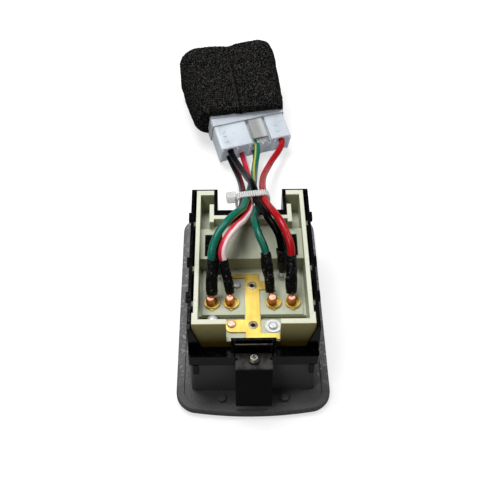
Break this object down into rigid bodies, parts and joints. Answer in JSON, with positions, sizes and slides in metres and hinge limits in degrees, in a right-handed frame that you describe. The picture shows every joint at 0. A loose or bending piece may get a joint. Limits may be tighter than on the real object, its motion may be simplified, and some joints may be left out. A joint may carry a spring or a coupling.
{
  "type": "power window switch",
  "caption": "Rocker window switch lying on its bezel, terminal tray open at the back, with a spring clip, soldered sleeved wires, a tie, a plug connector and a foam sleeve.",
  "frame": {"origin": "on the surface that the bezel lies face down on, below the middle of the rocker axle", "axes": "+X across the switch to the side of the plain red wire, +Y towards the end that the wires leave, +Z out of the open back"},
  "size_m": [0.0586, 0.1958, 0.0478],
  "materials": {
    "bezel_plastic": "fine-grained, scuffed at the rim",
    "rocker_plastic": "satin",
    "black_plastic": "satin moulding",
    "cream_plastic": "smooth moulding, a little translucent",
    "spring_steel": "plain rolled",
    "clip_enamel": "black enamel on spring steel",
    "brass": "bright stamped",
    "tinned_metal": "tin plated",
    "copper": "soldered copper",
    "shrink_sleeve": "shrunk, wrinkled",
    "wire_green_yellow": "green with a yellow stripe",
    "wire_red_white": "red with a white stripe",
    "wire_black_red": "black with a red stripe",
    "wire_black": "plain black",
    "wire_red": "plain red",
    "wire_green_black": "green with a black stripe",
    "tie_nylon": "natural nylon",
    "connector_nylon": "natural nylon",
    "foam": "open-cell foam"
  },
  "bodies": {
    "switch_body": {"bezel": "bezel_plastic", "rocker_axle": "spring_steel", "housing": "black_plastic", "spring_clip": "clip_enamel", "clip_screw": "spring_steel", "lever_cradle_left": "spring_steel", "lever_cradle_right": "spring_steel", "fixed_contact_near_left": "brass", "fixed_contact_far_left": "brass", "fixed_contact_near_right": "brass", "fixed_contact_far_right": "brass", "terminal_base": "cream_plastic", "earth_strap": "brass", "eyelet_near": "tinned_metal", "eyelet_far": "tinned_metal", "stake_rivet": "copper", "earth_rivet": "tinned_metal", "earth_washer": "tinned_metal", "corner_rivet": "tinned_metal", "deck_rivet": "tinned_metal", "terminal_1": "brass", "terminal_2": "brass", "terminal_3": "brass", "terminal_4": "brass", "terminal_5": "brass", "terminal_6": "brass", "copper_post_1": "copper", "copper_post_2": "copper", "copper_post_3": "copper", "copper_post_4": "copper", "sleeve_1": "shrink_sleeve", "sleeve_2": "shrink_sleeve", "sleeve_3": "shrink_sleeve", "sleeve_4": "shrink_sleeve", "sleeve_5": "shrink_sleeve", "sleeve_6": "shrink_sleeve", "wire_green_yellow": "wire_green_yellow", "wire_red_white": "wire_red_white", "wire_black_red": "wire_black_red", "wire_black": "wire_black", "wire_red": "wire_red", "wire_green_black": "wire_green_black", "cable_tie": "tie_nylon", "connector_shell": "connector_nylon", "connector_retainer": "connector_nylon", "crimp_terminals": "brass", "foam_sleeve": "foam"},
    "rocker_left_body": {"rocker_left": "rocker_plastic", "plunger_spring_left": "spring_steel"},
    "rocker_right_body": {"rocker_right": "rocker_plastic", "plunger_spring_right": "spring_steel"},
    "plunger_left_body": {"plunger_left": "brass"},
    "plunger_right_body": {"plunger_right": "brass"},
    "lever_left_body": {"contact_lever_left": "brass"},
    "lever_right_body": {"contact_lever_right": "brass"}
  },
  "joints": [
    {"name": "rocker_left_tilt", "type": "hinge", "parent": "switch_body", "child": "rocker_left_body", "pos_m": [-0.0093, 0, 0.0095], "axis": [1, 0, 0], "range_deg": [-7, 7], "stiffness_Nm_per_rad": 0.3},
    {"name": "plunger_left_slide", "type": "slide", "parent": "rocker_left_body", "child": "plunger_left_body", "axis": [0, 0, 1], "range_m": [-0.0006, 0], "stiffness_N_per_m": 300},
    {"name": "lever_left_rock", "type": "hinge", "parent": "switch_body", "child": "lever_left_body", "pos_m": [-0.0065, 0, 0.0216], "axis": [1, 0, 0], "range_deg": [-4.2, 4.2]},
    {"name": "rocker_right_tilt", "type": "hinge", "parent": "switch_body", "child": "rocker_right_body", "pos_m": [0.0093, 0, 0.0095], "axis": [1, 0, 0], "range_deg": [-7, 7], "stiffness_Nm_per_rad": 0.3},
    {"name": "plunger_right_slide", "type": "slide", "parent": "rocker_right_body", "child": "plunger_right_body", "axis": [0, 0, 1], "range_m": [-0.0006, 0], "stiffness_N_per_m": 300},
    {"name": "lever_right_rock", "type": "hinge", "parent": "switch_body", "child": "lever_right_body", "pos_m": [0.0065, 0, 0.0216], "axis": [1, 0, 0], "range_deg": [-4.2, 4.2]}
  ],
  "couplings": [
    {"joint": "lever_left_rock", "follows": "rocker_left_tilt", "ratio": -0.6},
    {"joint": "lever_right_rock", "follows": "rocker_right_tilt", "ratio": -0.6}
  ]
}
